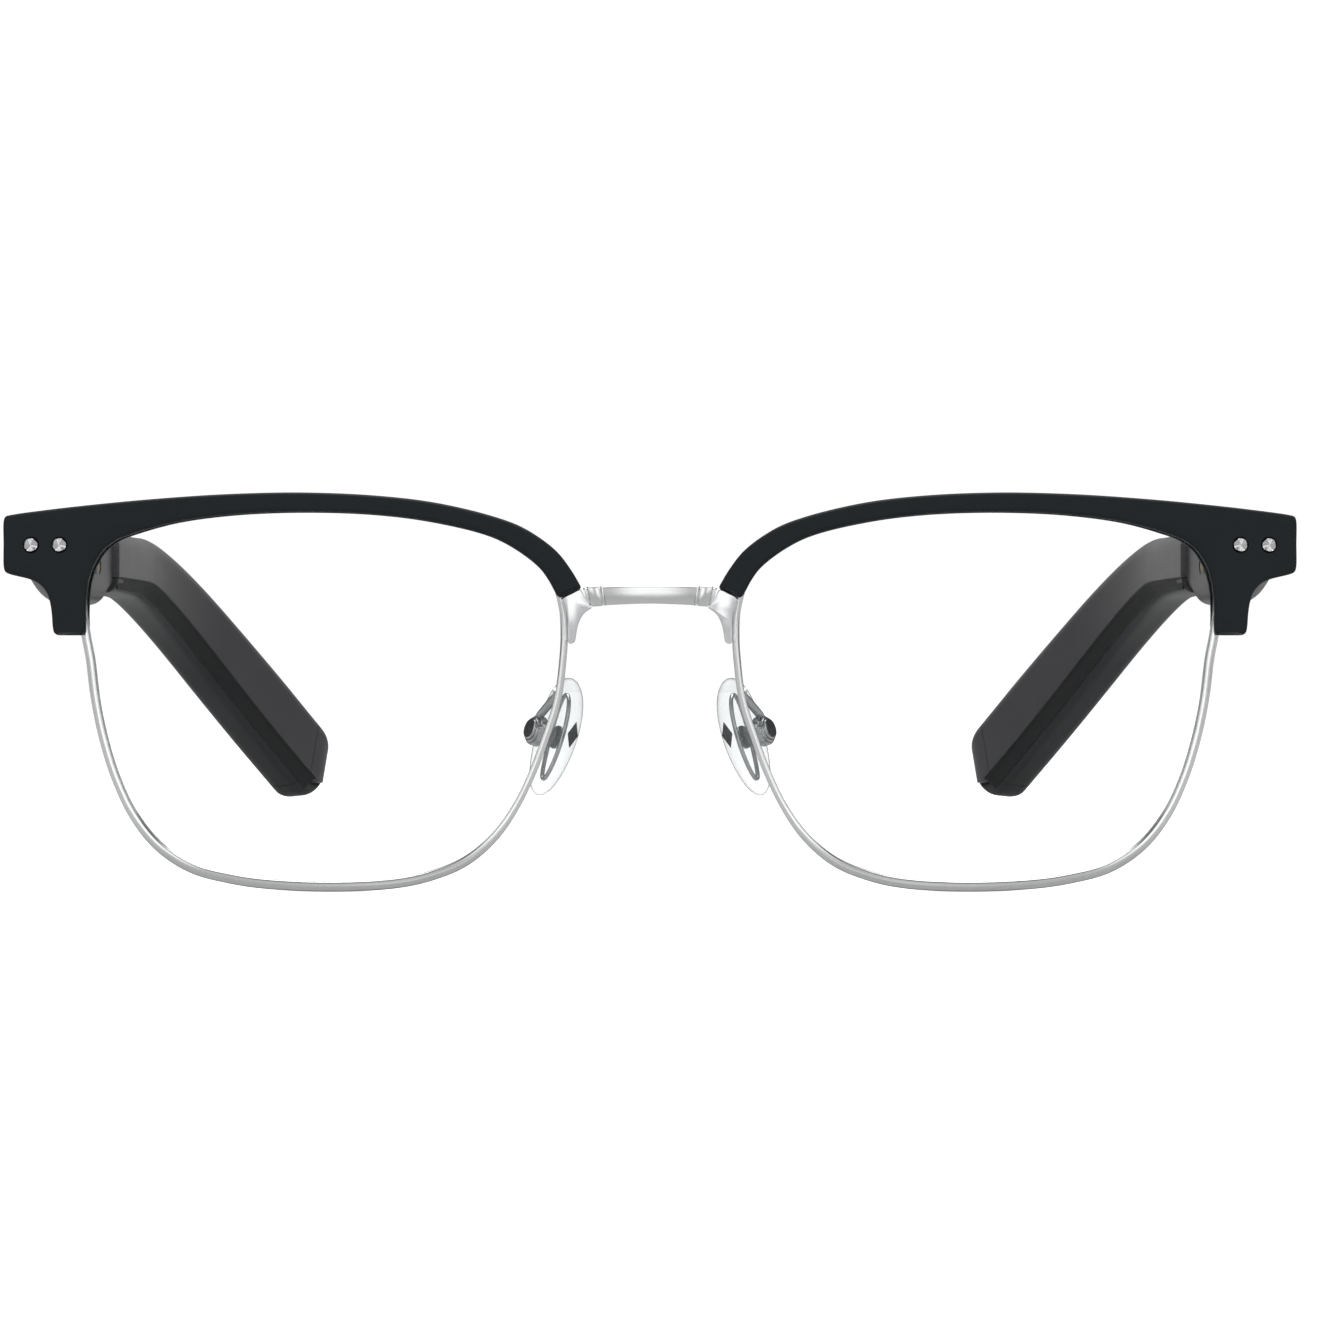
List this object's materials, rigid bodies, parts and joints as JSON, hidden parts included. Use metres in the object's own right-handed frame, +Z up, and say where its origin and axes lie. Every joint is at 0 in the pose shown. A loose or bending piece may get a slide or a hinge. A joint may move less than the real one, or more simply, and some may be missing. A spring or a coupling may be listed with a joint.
{
  "type": "smart glasses",
  "caption": "Browline smart glasses: dark upper brows, metal rims, clear lenses, swivel nose pads and two folding temples that hold the electronics.",
  "frame": {"origin": "middle of the bounding box's base: halfway across the front, halfway from the front to the ear tips, at the height of the rims' lowest point", "axes": "+X to the right seen from in front, +Y from the front back along the open temples, +Z up"},
  "size_m": [0.1454, 0.1502, 0.0445],
  "materials": {
    "brow": "satin blue-black moulding",
    "steel": "polished and brushed silver",
    "steel_dark": "dark etched grille",
    "lens": "clear polished lens",
    "silicone": "clear soft silicone",
    "temple": "dark grey satin moulding",
    "contact": "gold-plated contact",
    "flex": "amber polyimide film",
    "board": "green solder mask",
    "speaker": "black housing",
    "battery": "bare cell can"
  },
  "bodies": {
    "front": {"bridge_bar": "steel", "rim_right": "steel", "rim_lock_screw_right": "steel", "lens_right": "lens", "brow_right": "brow", "rivet_inner_right": "steel", "rivet_outer_right": "steel", "bridge_bracket_right": "steel", "pad_arm_right": "steel", "pad_screw_right": "steel", "hinge_front_leaf_right": "steel", "hinge_pin_right": "steel", "rim_left": "steel", "rim_lock_screw_left": "steel", "lens_left": "lens", "brow_left": "brow", "rivet_inner_left": "steel", "rivet_outer_left": "steel", "bridge_bracket_left": "steel", "pad_arm_left": "steel", "pad_screw_left": "steel", "hinge_front_leaf_left": "steel", "hinge_pin_left": "steel"},
    "temple_right": {"hinge_rear_leaf_right": "steel", "temple_screw_right": "steel", "temple_shell_right": "temple", "temple_cover_right": "temple", "charging_contact_front_right": "contact", "charging_contact_rear_right": "contact", "touch_flex_right": "flex", "circuit_board_right": "board", "microphone_right": "speaker", "speaker_right": "speaker", "speaker_grille_right": "steel_dark", "ear_piece_shell_right": "temple", "ear_piece_cover_right": "temple", "ear_piece_end_cap_right": "temple", "battery_right": "battery"},
    "pad_right": {"nose_pad_right": "silicone"},
    "temple_left": {"hinge_rear_leaf_left": "steel", "temple_screw_left": "steel", "temple_shell_left": "temple", "temple_cover_left": "temple", "charging_contact_front_left": "contact", "charging_contact_rear_left": "contact", "touch_flex_left": "flex", "circuit_board_left": "board", "microphone_left": "speaker", "speaker_left": "speaker", "speaker_grille_left": "steel_dark", "ear_piece_shell_left": "temple", "ear_piece_cover_left": "temple", "ear_piece_end_cap_left": "temple", "battery_left": "battery"},
    "pad_left": {"nose_pad_left": "silicone"}
  },
  "joints": [
    {"name": "temple_fold_right", "type": "hinge", "parent": "front", "child": "temple_right", "pos_m": [0.0669, -0.06232, 0.03895], "axis": [0, 0, 1], "range_deg": [0, 60]},
    {"name": "temple_fold_left", "type": "hinge", "parent": "front", "child": "temple_left", "pos_m": [-0.0669, -0.06232, 0.03895], "axis": [0, 0, -1], "range_deg": [0, 83]},
    {"name": "pad_rock_right", "type": "hinge", "parent": "front", "child": "pad_right", "pos_m": [0.013, -0.06692, 0.01795], "axis": [0.5072, 0.8603, 0.0509], "range_deg": [-10, 10]},
    {"name": "pad_rock_left", "type": "hinge", "parent": "front", "child": "pad_left", "pos_m": [-0.013, -0.06692, 0.01795], "axis": [-0.5072, 0.8603, 0.0509], "range_deg": [-10, 10]}
  ]
}
